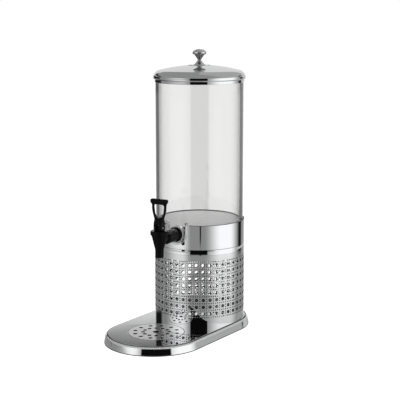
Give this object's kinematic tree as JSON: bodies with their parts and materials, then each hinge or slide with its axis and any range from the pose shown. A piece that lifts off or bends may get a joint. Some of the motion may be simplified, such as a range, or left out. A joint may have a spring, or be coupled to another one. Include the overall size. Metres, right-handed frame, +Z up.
{
  "type": "juice dispenser",
  "caption": "Juice dispenser: clear cylindrical tank with a steel lid and a black pull tap, on a perforated steel tower over a round-ended base with a drip grid.",
  "frame": {"origin": "on the table under the middle of the base, at the height of the feet's soles", "axes": "+Z up, -Y to the front where the tap and the drip grid are, +X to the right seen from the front"},
  "size_m": [0.1924, 0.3474, 0.5423],
  "materials": {
    "polished_steel": "mirror polished stainless steel",
    "satin_steel": "satin",
    "clear_tank": "clear, polished",
    "clear_silicone": "translucent, smooth",
    "black_plastic": "moulded, semi-gloss",
    "black_rubber": "matte"
  },
  "bodies": {
    "stand": {"base_tray": "polished_steel", "rubber_feet": "black_rubber", "tower_tube": "polished_steel", "tower_foot_ring": "satin_steel", "tower_screws": "satin_steel", "shoulder_ring": "polished_steel", "collar_band": "polished_steel", "collar_floor": "satin_steel", "collar_screws": "satin_steel", "notch_trim": "polished_steel", "tank_seat": "black_rubber"},
    "drip_cup": {"drip_cup": "black_plastic"},
    "drip_grid": {"drip_grid": "polished_steel"},
    "tank": {"tank_tube": "clear_tank", "tank_floor": "clear_tank", "outer_washer": "clear_silicone", "inner_washer": "clear_silicone", "shank_nut": "black_plastic", "tap_body": "black_plastic", "tap_bonnet": "black_plastic", "stem_spring": "satin_steel"},
    "valve_stem": {"tap_stem": "black_plastic", "seat_cup": "clear_silicone", "handle_pin": "satin_steel"},
    "tap_handle": {"tap_handle": "black_plastic"},
    "lid": {"lid_shell": "polished_steel", "lid_gasket": "clear_silicone", "lid_knob": "polished_steel", "knob_washer": "satin_steel", "knob_screw": "satin_steel"}
  },
  "joints": [
    {"name": "drip_cup_lift", "type": "slide", "parent": "stand", "child": "drip_cup", "axis": [0, 0, 1], "range_m": [0, 0.03]},
    {"name": "drip_grid_lift", "type": "slide", "parent": "drip_cup", "child": "drip_grid", "axis": [0, 0, 1], "range_m": [0, 0.02]},
    {"name": "tank_lift", "type": "slide", "parent": "stand", "child": "tank", "axis": [0, 0, 1], "range_m": [0, 0.06]},
    {"name": "lid_lift", "type": "slide", "parent": "tank", "child": "lid", "axis": [0, 0, 1], "range_m": [0, 0.04]},
    {"name": "stem_lift", "type": "slide", "parent": "tank", "child": "valve_stem", "axis": [0, 0, 1], "range_m": [0, 0.0034], "deforming": ["stem_spring"]},
    {"name": "handle_tilt", "type": "hinge", "parent": "valve_stem", "child": "tap_handle", "pos_m": [0.01043, -0.07574, 0.2193], "axis": [0.9976, 0.0698, 0], "range_deg": [0, 35], "stiffness_Nm_per_rad": 0.25, "springref_deg": -17.19}
  ],
  "couplings": [
    {"joint": "stem_lift", "follows": "handle_tilt", "m_per_rad": 0.0055}
  ]
}
